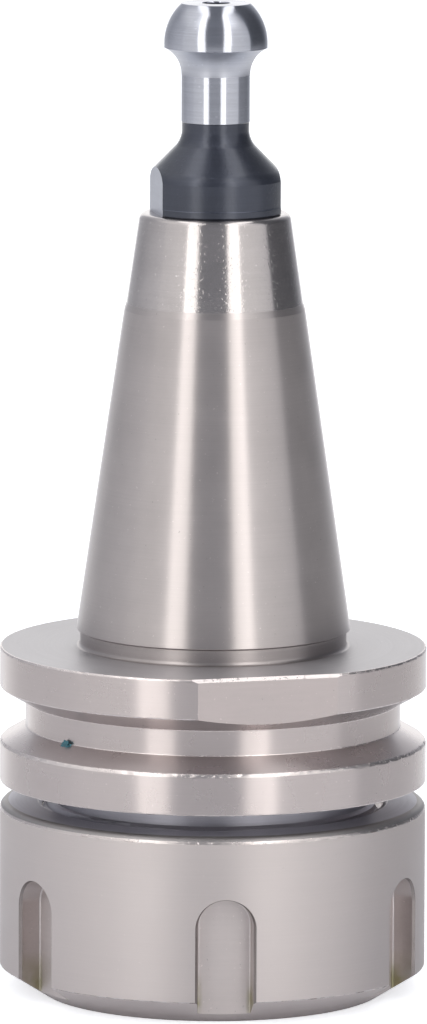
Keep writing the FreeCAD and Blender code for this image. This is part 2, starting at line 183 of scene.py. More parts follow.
class StudSizes(PropertyGroup):
    """Head, neck, collar and shank of the pull stud."""
    foot_height: size("Foot height", 0.85, "Height of the rim at the collar's foot")
    collar_top_z: size("Collar top", 95.88, "Height where the collar starts to curve in")
    collar_radius: size("Collar radius", 8.0, "Radius of the collar")
    cone_corner_z: size("Cone corner", 96.42, "Height where cone and collar would meet")
    cone_round: size("Cone rounding", 2.4, "Rounding between the collar and its cone")
    neck_radius: size("Neck radius", 4.0, "Radius of the neck")
    neck_round: size("Neck rounding", 2.5, "Rounding between the cone and the neck")
    black_top_z: size("Black top", 102.6, "Height where the black finish ends")
    neck_top_z: size("Neck top", 108.05, "Height where the neck starts to widen")
    throat_round: size("Throat rounding", 3.5, "Rounding under the head")
    head_radius: size("Head radius", 6.05, "Radius of the head")
    head_land: size("Head land", 0.15, "Straight land at the head's widest point")
    dome_round: size("Dome rounding", 6.5, "Rounding of the head's side")
    crown_radius: size("Crown radius", 4.05, "Radius of the head's flat top")
    hole_radius: size("Hole radius", 1.62, "Radius of the coolant hole")
    flats: size("Across flats", 14.0, "Distance between the two spanner flats")
    flat_turn: angle("Flat turn", 191.3, "Direction of the first flat's normal, from +X")
    shank_radius: size("Shank radius", 5.9, "Radius of the shank")
    pilot_radius: size("Pilot radius", 6.45, "Radius of the pilot under the collar")
    pilot_length: size("Pilot length", 4.6, "Length of the pilot under the collar")
    steps: steps(144, "Faces around the axis")


class ThreadSizes(PropertyGroup):
    """The screw thread between the nose and the nut."""
    pitch: size("Pitch", 1.5, "Travel in one turn")
    male_crest: size("Male crest", 19.97, "Outer radius of the nose's thread")
    female_crest: size("Female crest", 19.2, "Inner radius of the nut's thread")
    male_flat: size("Male flat", 0.16, "Width of the nose's crest")
    female_flat: size("Female flat", 0.32, "Width of the nut's crest")
    flank: angle("Flank", 30.0, "Half angle of the thread")
    steps: steps(120, "Faces in one turn")


class FinishColours(PropertyGroup):
    """Colours of the finishes."""
    taper: colour("Ground steel", "#B9B2B1", "Taper")
    relief: colour("Polished taper", "#BFB9B8", "Upper end of the taper")
    # The neck's colour is darker than the taper's as painted shade, for the flange's shadow on the
    # undercut.
    neck: colour("Neck steel", "#A8A1A0", "Undercut below the taper")
    faced: colour("Faced steel", "#B9B6B8", "Upper face of the flange")
    flange: colour("Turned steel", "#C1B8B7", "Flange and nose")
    nut: colour("Satin steel", "#CFC7C5", "Outside, slots and thread of the nut")
    polished: colour("Polished steel", "#B7B9C2", "Head, neck and flats of the stud")
    oxide: colour("Black oxide", "#343845", "Collar of the stud")
    # The slot edges' colour is darker than the nut's as painted shade.
    slot_edge: colour("Slot edge", "#958D8B", "Broken edges of the slots")
    oil: colour("Oil film", "#A39D7C", "Oily corners of the slots")
    scale: colour("Furnace scale", "#B8B7C0", "Nose of the holder, inside and top of the nut")
    # The shoulder's colour is darker than the nut's as painted shade under the flange.
    shoulder: colour("Shaded shoulder", "#9E9A9A", "Rounded shoulder of the nut's top")
    collet: colour("Spring steel", "#A9A8A8", "Collet")
    fleck: colour("Paint chip", "#2F6471", "Chip of paint in the groove")
    floor: colour("Floor", "#EDF0F6", "Floor")


class StudioSettings(PropertyGroup):
    """Camera and light."""
    camera_distance: size("Camera distance", 1137.0, "Distance of the camera from the axis")
    camera_height: size("Camera height", 231.0, "Height of the camera")
    aim_height: size("Aim height", 56.6, "Height on the axis that the camera aims at")
    lens: FloatProperty(name="Lens", default=345.7, min=20, description="Focal length in mm")
    camera_shift: size("Camera shift", -0.045, "How far the camera stands to the right")
    roll: angle("Roll", 0.25, "Turn of the camera about its own axis")
    light_distance: size("Light distance", 1000.0, "Distance of the lamps and cards")
    table_radius: size("Table radius", 120.0, "Radius of the table that reflections show")
    floor_lift: FloatProperty(name="Floor lift", default=0.5, min=0,
                              description="How much brighter the camera sees the floor")
    strip_lean: angle("Strip lean", 5.0, "How far the strip lamps lean outwards")
    strip_glow: FloatProperty(name="Strip glow", default=2.0, min=0,
                              description="Brightness of a strip lamp's face; 1 is white")


# --- Meshes ----------------------------------------------------------------------------------


def arc(start, end, radius, side):
    """Points after start up to end on an arc; side 1 bulges away from the axis, -1 towards it."""
    start, end = Vector(start), Vector(end)
    chord = end - start
    normal = Vector((chord.y, -chord.x)).normalized()
    if normal.x * side < 0:
        normal = -normal
    centre = start + chord / 2 - normal * math.sqrt(radius ** 2 - (chord.length / 2) ** 2)
    first = start - centre
    turn = first.angle_signed(end - centre)
    count = max(2, round(abs(math.degrees(turn)) / ARC_STEP_DEG))
    spokes = [Matrix.Rotation(-turn * index / count, 2) @ first for index in range(1, count)]
    return [tuple(centre + spoke) for spoke in spokes] + [tuple(end)]


def heading(turn):
    """Unit vector at an angle around the axis."""
    return Vector((math.cos(turn), math.sin(turn), 0))


def swing(made, verts, turn):
    """Turns points about the object's axis."""
    bmesh.ops.rotate(made, cent=(0, 0, 0), matrix=Matrix.Rotation(turn, 3, "Z"), verts=verts)


def points_in(result):
    """The points that an operator made."""
    return [item for item in result["geom"] if isinstance(item, bmesh.types.BMVert)]


def round_corner(section, vert, radius, step_deg):
    """Rounds one corner of a section and returns the new points."""
    first, second = [edge.other_vert(vert).co - vert.co for edge in vert.link_edges]
    turn = math.pi - first.angle(second)
    made = bmesh.ops.bevel(section, geom=[vert], offset=radius * math.tan(turn / 2),
                           offset_type="OFFSET", affect="VERTICES", profile=0.5, material=-1,
                           segments=max(2, round(math.degrees(turn) / step_deg)),
                           clamp_overlap=False)
    return made["verts"]


def nick(piece):
    """Dents the broken edges within reach, where handling has knocked them."""
    solid = bmesh.new()
    solid.from_mesh(piece.data)
    edge_faces = solid.faces.layers.float[EDGE_LAYER]
    for vert in solid.verts:
        worn = all(face[edge_faces] > 0.5 for face in vert.link_faces)
        if worn and math.hypot(vert.co.x, vert.co.y) > NICK_RADIUS:
            where = vert.co / NICK_SIZE
            large = max(0.0, noise.noise(where) - NICK_GAP)
            small = max(0.0, noise.noise(where * NICK_FINE)) / 2
            outward = Vector((vert.co.x, vert.co.y, 0)).normalized()
            vert.co -= outward * (large + small) * NICK_DEPTH
    solid.to_mesh(piece.data)
    solid.free()


def supported(corners):
    """Adds a point on each straight run beside a small rounding, so its shading stays there."""
    points = []
    for index, corner in enumerate(corners):
        if len(corner) == 2 or corner[2] >= SMALL_ROUND:
            points.append(corner)
            continue
        here = Vector(corner[:2])
        before = Vector(corners[index - 1][:2]) - here
        after = Vector(corners[(index + 1) % len(corners)][:2]) - here
        turn = math.pi - before.angle(after)
        reach = corner[2] * math.tan(turn / 2) + SUPPORT_GAP
        sides = [[tuple(here + way.normalized() * reach)] if way.length > 2.5 * reach else []
                 for way in (before, after)]
        points += [*sides[0], corner, *sides[1]]
    return points


def turned(corners, steps):
    """Bmesh of a solid of revolution from its section's corners, each (r, z) or (r, z, rounding).

    Roundings under SMALL_ROUND are broken edges, and their faces carry 1 in EDGE_LAYER.
    An eighth of a turn is spun and then doubled three times, which is faster than a full spin.
    """
    solid = bmesh.new()
    mark = solid.verts.layers.float.new(EDGE_LAYER)
    corners = supported(corners)
    verts = [solid.verts.new((corner[0], 0, corner[1])) for corner in corners]
    for index, vert in enumerate(verts):
        solid.edges.new((verts[index - 1], vert))
    for vert, corner in zip(verts, corners):
        if len(corner) == 3:
            small = corner[2] < SMALL_ROUND
            step_deg = ROUND_STEP_DEG if small else ARC_STEP_DEG
            for new in round_corner(solid, vert, corner[2], step_deg):
                new[mark] = 1.0 if small else 0.0
    bmesh.ops.spin(solid, geom=solid.verts[:] + solid.edges[:], cent=(0, 0, 0), axis=(0, 0, 1),
                   angle=math.tau / 8, steps=steps // 8, use_duplicate=False)
    for share in (8, 4, 2):
        copy = bmesh.ops.duplicate(solid, geom=solid.verts[:] + solid.edges[:] + solid.faces[:])
        swing(solid, points_in(copy), math.tau / share)
    bmesh.ops.remove_doubles(solid, verts=solid.verts[:], dist=SKIN / 10)
    bmesh.ops.recalc_face_normals(solid, faces=solid.faces[:])
    edge_faces = solid.faces.layers.float.new(EDGE_LAYER)
    for face in solid.faces:
        face[edge_faces] = 1.0 if all(vert[mark] > 0.5 for vert in face.verts) else 0.0
    solid.verts.layers.float.remove(mark)
    return solid


def new_object(name, mesh_source):
    """An object at the origin made from a bmesh, which is freed."""
    mesh = bpy.data.meshes.new(name)
    mesh_source.to_mesh(mesh)
    mesh_source.free()
    piece = bpy.data.objects.new(name, mesh)
    bpy.context.scene.collection.objects.link(piece)
    return piece


def cut(piece, cutter_source):
    """Takes a bmesh out of a piece, for good."""
    bmesh.ops.recalc_face_normals(cutter_source, faces=cutter_source.faces[:])
    cutter = new_object("cutter", cutter_source)
    modifier = piece.modifiers.new("cut", "BOOLEAN")
    modifier.operation = "DIFFERENCE"
    modifier.solver = "EXACT"
    modifier.object = cutter
    evaluated = piece.evaluated_get(bpy.context.evaluated_depsgraph_get())
    mesh = bpy.data.meshes.new_from_object(evaluated)
    piece.modifiers.clear()
    old = piece.data
    piece.data = mesh
    mesh.name = piece.name
    bpy.data.meshes.remove(old)
    bpy.data.objects.remove(cutter)


def shade(piece, choose):
    """Gives each face the finish that choose(centre, normal, worn) names, and sets crisp edges."""
    names = []
    solid = bmesh.new()
    solid.from_mesh(piece.data)
    edge_faces = solid.faces.layers.float.get(EDGE_LAYER)

    def is_worn(face):
        return bool(edge_faces) and face[edge_faces] > 0.5

    for face in solid.faces:
        face.smooth = True
        name = choose(face.calc_center_median(), face.normal, is_worn(face))
        if name not in names:
            names.append(name)
            piece.data.materials.append(finish(name))
        face.material_index = names.index(name)
    for edge in solid.edges:
        limit = WORN_SHARP_DEG if any(map(is_worn, edge.link_faces)) else SHARP_DEG
        edge.smooth = edge.is_manifold and math.degrees(edge.calc_face_angle()) < limit
    solid.to_mesh(piece.data)
    solid.free()
    weighted = piece.modifiers.new("even_normals", "WEIGHTED_NORMAL")
    weighted.keep_sharp = True
    weighted.weight = 100


def add_block(made, low, high, turn):
    """Adds a box between two corners, turned about the object's axis, and returns its points."""
    verts = bmesh.ops.create_cube(made, size=1.0)["verts"]
    low, high = Vector(low), Vector(high)
    bmesh.ops.scale(made, vec=high - low, verts=verts)
    bmesh.ops.translate(made, vec=(low + high) / 2, verts=verts)
    swing(made, verts, turn)
    return verts


def helix(thread, crest, crest_flat, root, start_z, end_z):
    """Bmesh of a thread ridge that climbs to end_z and fades out at both ends."""
    root_half = crest_flat / 2 + abs(crest - root) * math.tan(thread.flank)
    section = [(root, -root_half), (crest, -crest_flat / 2), (crest, crest_flat / 2),
               (root, root_half)]
    ridge = bmesh.new()
    verts = [ridge.verts.new((r, 0, start_z + z)) for r, z in section]
    ridge.faces.new(verts)
    turns = (end_z - start_z) / thread.pitch
    total = round(turns * thread.steps)
    turn = math.tau / thread.steps
    bmesh.ops.spin(ridge, geom=ridge.verts[:] + ridge.edges[:] + ridge.faces[:], cent=(0, 0, 0),
                   axis=(0, 0, 1), dvec=(0, 0, thread.pitch / thread.steps), angle=turn * total,
                   steps=total, use_merge=False, use_duplicate=False)
    for vert in ridge.verts:
        radius = math.hypot(vert.co.x, vert.co.y)
        along = min(max((vert.co.z - start_z) / (turns * thread.pitch), 0.0), 1.0) * turns
        share = min(1.0, along / FADE_TURNS, (turns - along) / FADE_TURNS)
        faded = root + (radius - root) * max(share, 0.0)
        vert.co.x *= faded / radius
        vert.co.y *= faded / radius
    bmesh.ops.recalc_face_normals(ridge, faces=ridge.faces[:])
    return ridge


# --- Finishes --------------------------------------------------------------------------------


def new_tree(owner):
    """The emptied node tree of a material or a world."""
    owner.use_nodes = True
    owner.node_tree.nodes.clear()
    return owner.node_tree


def add(tree, kind, inputs=None, **settings):
    """Adds a shader node with its settings, and its inputs as values or links.

    A node that stands for an input is linked from its first output.
    """
    node = tree.nodes.new("ShaderNode" + kind)
    for key, value in settings.items():
        setattr(node, key, value)
    for key, value in (inputs or {}).items():
        if isinstance(value, bpy.types.Node):
            value = value.outputs[0]
        if isinstance(value, bpy.types.NodeSocket):
            tree.links.new(value, node.inputs[key])
        else:
            node.inputs[key].default_value = value
    return node


def shader_of(material):
    """The material's surface shader."""
    return next(n for n in material.node_tree.nodes if n.type == "BSDF_PRINCIPLED")


def ramp(start, end, low=0.0, high=1.0):
    """Map Range inputs that turn start into low and end into high."""
    return {1: start, 2: end, 3: low, 4: high}


def around(middle, share):
    """Map Range inputs that turn a noise's usual span into one around a middle value."""
    return ramp(*NOISE_SPAN, middle * (1 - share), middle * (1 + share))


NOISE_SPAN = (0.3, 0.7)     # nearly all of a noise lies between these
BRIGHT_SPECKS = (0.70, 0.76)    # the noise from which a bright speck starts, and is full
DARK_SPECKS = (0.27, 0.22)
PITS = (0.6, 0.7)
RING_WANDER = 0.06          # how much a ring changes along its length; 0 is not at all
CLOUD_MM = 6.25             # size of the cloudy patches
SPECK_MM = 0.35             # size of the specks, coarser than real dust so that they show
CLOUD_ROUGHNESS = 0.07      # how much the clouds change the roughness
OIL_PATCH = 2 * MM          # size of the patches in a film of oil
ENAMEL_SPOT = 0.4 * MM      # size of the spots in a chip of paint


def steel(name, base, roughness, anisotropy, groove_mm, groove_depth_mm, groove_tone=0.05,
          mottle=0.05, speck=0.3, edge_gain=1.15, pit_depth_mm=0.0):
    """Bare or coated steel with the ring-shaped tool marks of turning or cylindrical grinding.

    The marks spread a highlight along the axis and keep it narrow around it, so the tangent
    runs around the axis and the shader's anisotropy is turned a quarter.
    """
    material = bpy.data.materials.new(name)
    tree = new_tree(material)
    place = add(tree, "TexCoord").outputs["Object"]
    mm = add(tree, "VectorMath", {0: place, "Scale": 1 / MM}, operation="SCALE")
    x, y, _ = add(tree, "SeparateXYZ", {0: mm}).outputs
    flat = add(tree, "CombineXYZ", {"X": x, "Y": y})
    radius = add(tree, "VectorMath", {0: flat}, operation="LENGTH").outputs["Value"]
    stretch = (RING_WANDER, RING_WANDER, 1 / groove_mm)
    rings = add(tree, "VectorMath", {0: mm, 1: stretch}, operation="MULTIPLY")
    phase = add(tree, "Math", {0: radius, 1: 1 / groove_mm}, operation="MULTIPLY")
    grooves = add(tree, "TexNoise", {"Vector": rings, "W": phase, "Scale": 1.0, "Detail": 3.0,
                                     "Roughness": 0.6}, noise_dimensions="4D")
    cloud = add(tree, "TexNoise", {"Vector": mm, "Scale": 1 / CLOUD_MM, "Detail": 4.0,
                                   "Roughness": 0.6})
    dust = add(tree, "TexNoise", {"Vector": mm, "Scale": 1 / SPECK_MM, "Detail": 2.0})
    bright_dust = add(tree, "MapRange", {0: dust, **ramp(*BRIGHT_SPECKS, high=speck)})
    dark_dust = add(tree, "MapRange", {0: dust, **ramp(*DARK_SPECKS, high=speck)})
    # The colour is lightened on the broken edges, partly as burnished wear and partly as a painted
    # highlight.
    edge = add(tree, "Attribute", attribute_name=EDGE_LAYER).outputs["Fac"]
    edge_wear_and_highlight_boost = add(tree, "Math", {0: edge, 1: edge_gain - 1.0, 2: 1.0},
                     operation="MULTIPLY_ADD")
    gain = add(tree, "MapRange", {0: grooves, **around(1, groove_tone)})
    cloud_gain = add(tree, "MapRange", {0: cloud, **around(1, mottle)})
    for operation, value in (("MULTIPLY", cloud_gain), ("ADD", bright_dust),
                             ("SUBTRACT", dark_dust), ("MULTIPLY", edge_wear_and_highlight_boost)):
        gain = add(tree, "Math", {0: gain, 1: value}, operation=operation)
    tint = add(tree, "VectorMath", {0: tuple(base), "Scale": gain}, operation="SCALE")
    rough = add(tree, "MapRange", {0: cloud, **around(roughness, CLOUD_ROUGHNESS)})
    bump = add(tree, "Bump", {"Strength": 1.0, "Distance": groove_depth_mm * MM,
                              "Height": grooves})
    if pit_depth_mm:
        pits = add(tree, "MapRange", {0: dust, **ramp(*PITS)})
        bump = add(tree, "Bump", {"Strength": 1.0, "Distance": pit_depth_mm * MM,
                                  "Height": pits, "Normal": bump})
    ring_way = add(tree, "VectorMath", {0: (0.0, 0.0, 1.0), 1: flat}, operation="CROSS_PRODUCT")
    tangent = add(tree, "VectorTransform", {0: ring_way}, vector_type="VECTOR",
                  convert_from="OBJECT", convert_to="WORLD")
    shader = add(tree, "BsdfPrincipled", {"Base Color": tint, "Metallic": 1.0,
                                          "Roughness": rough, "Normal": bump,
                                          "Anisotropic": anisotropy,
                                          "Anisotropic Rotation": 0.25, "Tangent": tangent})
    add(tree, "OutputMaterial", {"Surface": shader})
    return material


def oily(material):
    """Adds a film of old oil, low down in the corners of the spanner slots."""
    s = bpy.context.scene.chuck_nut
    film = (*bpy.context.scene.chuck_colours.oil, 1.0)
    tree = material.node_tree
    base = shader_of(material).inputs["Base Color"]
    clean = base.links[0].from_socket
    place = add(tree, "TexCoord").outputs["Object"]
    x, y, z = add(tree, "SeparateXYZ", {0: place}).outputs
    # The angle from the middle of the nearest slot tells how far into a corner a point is.
    turn = add(tree, "Math", {0: y, 1: x}, operation="ARCTAN2")
    turn = add(tree, "Math", {0: turn, 1: s.slot_turn}, operation="SUBTRACT")
    turn = add(tree, "Math", {0: turn, 1: math.pi / s.slots}, operation="PINGPONG")
    corner = math.atan(s.slot_width / 2 / s.slot_distance)
    amount = add(tree, "MapRange", {0: turn, **ramp(0.8 * corner, 0.98 * corner)})
    low = add(tree, "MapRange", {0: z, **ramp(s.stain_top_z, 0.4 * s.stain_top_z)})
    patch = add(tree, "TexNoise", {"Vector": place, "Scale": 1 / OIL_PATCH, "Detail": 2.0})
    share = add(tree, "MapRange", {0: patch, **ramp(0.3, 0.6, low=0.3)})
    for value in (low, share):
        amount = add(tree, "Math", {0: amount, 1: value}, operation="MULTIPLY")
    tint = add(tree, "Mix", {0: amount, 6: clean, 7: film}, data_type="RGBA").outputs[2]
    tree.links.new(tint, base)


def black_oxide(material):
    """Makes a steel's surface a thin dark conversion coat, oiled, so it has a soft sheen."""
    inputs = shader_of(material).inputs
    inputs["Metallic"].default_value = 0.7
    inputs["Coat Weight"].default_value = 0.7
    inputs["Coat Roughness"].default_value = 0.23


def paint_chip(name):
    """A dried chip of enamel, slightly glossy and uneven."""
    material = bpy.data.materials.new(name)
    tree = new_tree(material)
    place = add(tree, "TexCoord").outputs["Object"]
    spots = add(tree, "TexNoise", {"Vector": place, "Scale": 1 / ENAMEL_SPOT, "Detail": 3.0})
    gain = add(tree, "MapRange", {0: spots, **around(1, 0.5)})
    base = tuple(bpy.context.scene.chuck_colours.fleck)
    tint = add(tree, "VectorMath", {0: base, "Scale": gain}, operation="SCALE")
    shader = add(tree, "BsdfPrincipled", {"Base Color": tint, "Roughness": 0.45})
    add(tree, "OutputMaterial", {"Surface": shader})
    return material


# Each steel: its colour, roughness, anisotropy, the spacing and depth of its tool marks in mm,
# and what else differs. Marks that are too fine to show are drawn as coarse as they need to be.
STEELS = {
    # Case-hardened alloy steel, cylindrically ground: a semi-mirror with fine rings.
    "ground_taper_steel": ("taper", 0.34, 0.92, 0.12, 0.0005, {"groove_tone": 0.025}),
    # The same steel, fine turned and polished: near a mirror, with a few pits.
    "polished_relief_steel": ("relief", 0.2, 0.75, 0.2, 0.0004,
                              {"groove_tone": 0.02, "speck": 0.4, "pit_depth_mm": 0.006}),
    # The same steel, hard turned: crisp upright bands and faint rings.
    "turned_flange_steel": ("flange", 0.28, 0.93, 0.12, 0.0004,
                            {"groove_tone": 0.02, "mottle": 0.03}),
    # The undercut, where a form tool leaves it coarser: soft bands; its darker colour is painted
    # shade.
    "turned_shaded_neck_steel": ("neck", 0.34, 0.6, 0.2, 0.002, {}),
    # The same steel, faced: a soft sheen in every direction.
    "faced_flange_steel": ("faced", 0.45, 0.2, 0.25, 0.0008,
                           {"groove_tone": 0.03, "mottle": 0.04}),
    # End milled after hardening: matt, without rings.
    "milled_flat_steel": ("flange", 0.62, 0.0, 0.5, 0.001, {"groove_tone": 0.02}),
    # The floors of the slots: milled, then tumbled with the nut, so nearly matt.
    "milled_slot_steel": ("nut", 0.55, 0.0, 0.4, 0.002, {"groove_tone": 0.02}),
    # Their walls and corners: cut with the flank of the mill, so smoother, with thin glints.
    "milled_wall_steel": ("nut", 0.33, 0.3, 0.3, 0.001, {"groove_tone": 0.03}),
    # The broken edges of the slots: uneven, and darker as painted shade.
    "shaded_slot_edge_steel": ("slot_edge", 0.45, 0.0, 0.3, 0.002, {"mottle": 0.2, "speck": 0.5}),
    # Edges that handling has rubbed and dented; lighter, partly as burnished wear, partly as
    # painted highlight.
    "burnished_highlit_edge_steel": ("nut", 0.27, 0.0, 0.3, 0.006,
                             {"groove_tone": 0.03, "pit_depth_mm": 0.025}),
    # Alloy steel, ground and tumbled to a satin.
    "satin_nut_steel": ("nut", 0.56, 0.6, 0.15, 0.0005,
                        {"groove_tone": 0.012, "mottle": 0.025, "speck": 0.06}),
    # The nut's top edge, turned round; its dark colour is painted shade under the flange.
    "shaded_shoulder_steel": ("shoulder", 0.45, 0.4, 0.3, 0.001, {}),
    # Turned and left with the scale of hardening: a cold grey with a soft sheen.
    "hardening_scale": ("scale", 0.45, 0.5, 0.3, 0.001, {}),
    # The nut's thread: cut after hardening, so its flanks glint.
    "cut_thread_steel": ("nut", 0.25, 0.5, 0.1, 0.0005, {}),
    # Where the stud's form tool ran out under the head: satin.
    "turned_throat_steel": ("polished", 0.42, 0.5, 0.2, 0.001, {}),
    # The stud's head and neck, ground and polished: a cool mirror.
    "polished_stud_steel": ("polished", 0.17, 0.7, 0.15, 0.0004, {}),
    # The stud's collar, turned and blackened: dark, with faint rings; pale edges, partly wear,
    # partly painted highlight.
    "black_oxide_steel": ("oxide", 0.36, 0.6, 0.25, 0.003,
                          {"groove_tone": 0.06, "mottle": 0.12, "speck": 0.12,
                           "edge_gain": 2.2, "pit_depth_mm": 0.012}),
    # Its spanner flats, milled through the black: bare and matt.
    "bare_flat_steel": ("polished", 0.4, 0.0, 0.5, 0.001, {}),
    # The collet: hardened spring steel, ground, so fairly bright.
    "spring_steel": ("collet", 0.3, 0.7, 0.2, 0.001, {}),
}
TREATMENTS = {"milled_slot_steel": oily, "milled_wall_steel": oily,
              "black_oxide_steel": black_oxide}


def finish(name):
    """The named finish, made on first use."""
    if name in bpy.data.materials:
        return bpy.data.materials[name]
    if name == "enamel_chip":
        return paint_chip(name)
    base, *numbers, others = STEELS[name]
    material = steel(name, getattr(bpy.context.scene.chuck_colours, base), *numbers, **others)
    if name in TREATMENTS:
        TREATMENTS[name](material)
    return material


# --- Pieces ----------------------------------------------------------------------------------


def holder_section(s):
    """Corners of the holder's section: up the outside from the nose, and down the bores."""
    taper = 7 / 48              # change of the radius for the height
    flange_radius = HOLDER_HIGH.x
    nose_z = HOLDER_LOW.z
    top_z = HOLDER_HIGH.z
    break_edge, top_break = 0.12 * MM, 0.22 * MM
    relief_fillet, neck_fillet, groove_round = 0.15 * MM, 0.5 * MM, 0.45 * MM
    foot_round, top_round = 0.08 * MM, 0.8 * MM
    seat_chamfer, nose_chamfer = 0.4 * MM, 0.8 * MM
    half_floor = s.groove_width / 2
    groove_rise = (flange_radius - s.groove_radius) * math.tan(s.groove_slope)
    taper_foot_z = s.gauge_z - s.foot_drop
    taper_foot = s.gauge_radius + s.foot_drop * taper
    ground_end = s.gauge_radius - (s.ground_end_z - s.gauge_z) * taper
    relief_z = s.ground_end_z + s.relief_ramp
    relief = s.gauge_radius - (relief_z - s.gauge_z) * taper - s.relief_depth
    top = s.gauge_radius - (top_z - s.gauge_z) * taper - s.relief_depth
    seat = math.tan(s.seat_slope)
    seat_top = s.seat_radius - (s.seat_top_z - nose_z) * seat
    drill_rise = (s.run_out_radius - s.drill_radius) * math.tan(DRILL_SLOPE)
    stud_rise = (s.stud_hole_radius - s.drill_radius) * math.tan(DRILL_SLOPE)
    return [
        (s.seat_radius + seat_chamfer, nose_z),
        (s.thread_root - nose_chamfer, nose_z, break_edge),
        (s.thread_root, nose_z + nose_chamfer),
        (s.thread_root, s.thread_end_z),
        (s.relief_radius, s.thread_end_z + s.thread_root - s.relief_radius),
        (s.relief_radius, s.flange_foot_z, relief_fillet),
        (flange_radius, s.flange_foot_z, break_edge),
        (flange_radius, s.groove_z - half_floor - groove_rise, groove_round),
        (s.groove_radius, s.groove_z - half_floor, break_edge),
        (s.groove_radius, s.groove_z + half_floor, break_edge),
        (flange_radius, s.groove_z + half_floor + groove_rise, break_edge),
        (flange_radius, s.flange_face_z, top_break),
        (s.neck_radius, s.flange_face_z, neck_fillet),
        (s.neck_radius, taper_foot_z - (taper_foot - s.neck_radius) / 2),
        (taper_foot, taper_foot_z, foot_round),
        (ground_end, s.ground_end_z),
        (relief, relief_z),
        (top, top_z, top_round),
        (s.pilot_radius, top_z),
        (s.pilot_radius, top_z - s.pilot_depth),
        (s.stud_hole_radius, top_z - s.pilot_depth),
        (s.stud_hole_radius, s.stud_hole_z),
        (s.drill_radius, s.stud_hole_z - stud_rise),
        (s.drill_radius, s.run_out_top_z + drill_rise),
        (s.run_out_radius, s.run_out_top_z),
        (s.run_out_radius, s.seat_top_z),
        (seat_top, s.seat_top_z),
        (s.seat_radius - seat_chamfer * seat, nose_z + seat_chamfer),
    ]


def add_flat_cutter(made, s, turn):
    """Adds the block that mills one flat, with the bevel on its top edge."""
    reach = HOLDER_HIGH.x * 1.1
    corner_z = s.flange_face_z - s.flat_bevel
    verts = add_block(made, (s.flat_distance, -reach, s.groove_z), (reach, reach, corner_z), turn)
    outward = heading(turn)
    top = next(face for face in made.faces if face.normal.z > 0.9 and face.verts[0] in verts)
    raised = bmesh.ops.extrude_discrete_faces(made, faces=[top])["faces"][0]
    for vert in raised.verts:
        vert.co.z += 2 * s.flat_bevel
        if vert.co.dot(outward) < s.flat_distance + MM:
            vert.co -= outward * 2 * s.flat_bevel


class CHUCK_OT_holder(Operator):
    """Build the holder: taper, flange with its groove and flats, nose and bores"""
    bl_idname = "chuck.holder"
    bl_label = "Holder"

    def execute(self, context):
        s = context.scene.chuck_holder
        piece = new_object("holder", turned(holder_section(s), s.steps))
        turns = (s.flat_turn, s.flat_turn + math.pi)
        cutter = bmesh.new()
        for turn in turns:
            add_flat_cutter(cutter, s, turn)
        cut(piece, cutter)
        nick(piece)
        ways = [heading(turn) for turn in turns]

        def choose(centre, normal, worn):
            reach = max(centre.dot(way) for way in ways)
            square = max(normal.dot(way) for way in ways)
            if centre.z > s.groove_z and reach > s.flat_distance - s.flat_bevel:
                if square > ALIGNED and abs(reach - s.flat_distance) < SKIN:
                    return "milled_flat_steel"
                # The flats' bevels take the lighter edge finish, partly a painted highlight.
                if 0.1 < square < 0.9 and abs(normal.z - square) < 0.01:
                    return "burnished_highlit_edge_steel"
            in_nose = math.hypot(centre.x, centre.y) < s.relief_radius + MM
            if in_nose and centre.z < s.flange_foot_z:
                return "hardening_scale"
            if centre.z > s.ground_end_z + s.relief_ramp / 2:
                return "polished_relief_steel"
            if centre.z > s.gauge_z - s.foot_drop - SLACK:
                return "ground_taper_steel"
            # The undercut takes a darker colour as painted shade.
            if centre.z > s.flange_face_z + 2 * SKIN:
                return "turned_shaded_neck_steel"
            if worn:
                return "burnished_highlit_edge_steel"
            if normal.z > UPWARD and centre.z > s.flange_face_z - SLACK:
                return "faced_flange_steel"
            return "turned_flange_steel"

        shade(piece, choose)
        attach(piece, "holder")
        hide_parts("holder_body")
        return {"FINISHED"}


class CHUCK_OT_nose_thread(Operator):
    """Build the nose's screw thread"""
    bl_idname = "chuck.nose_thread"
    bl_label = "Nose thread"

    def execute(self, context):
        s = context.scene.chuck_holder
        t = context.scene.chuck_thread
        run_out = 0.3 * MM
        ridge = helix(t, t.male_crest, t.male_flat, s.thread_root - THREAD_BITE,
                      HOLDER_LOW.z + THREAD_LEAD, s.thread_end_z - run_out)
        piece = new_object("nose_thread", ridge)
        shade(piece, lambda *face: "hardening_scale")
        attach(piece, "holder")
        return {"FINISHED"}


def nut_section(s):
    """Corners of the nut's section without its lip: up the outside and down the bore."""
    radius = NUT_HIGH.x
    height = NUT_HIGH.z
    cone = math.tan(s.cone_slope)
    break_edge, shoulder_break, mouth_break = 0.12 * MM, 0.16 * MM, 0.08 * MM
    mouth, countersink = 0.35 * MM, 0.5 * MM
    cone_top = s.mouth_radius + s.cone_top_z * cone
    run = radius - s.top_radius
    fall = (run ** 2 + s.top_fall ** 2) / (2 * s.top_fall)
    shoulder = arc((radius, height - s.top_fall), (s.top_radius, height), fall, 1)
    return [
        (s.face_radius, 0, break_edge),
        (radius, s.front_chamfer, break_edge),
        (*shoulder[0], shoulder_break),
        *shoulder[1:],
        (s.thread_radius + countersink, height, mouth_break),
        (s.thread_radius, height - countersink),
        (s.thread_radius, s.thread_z),
        (s.clearance_radius, s.thread_z),
        (s.clearance_radius, s.lip_high_z),
        (cone_top, s.lip_high_z),
        (cone_top, s.cone_top_z),
        (s.mouth_radius + mouth * cone, mouth),
        (s.mouth_radius + mouth, 0),
    ]


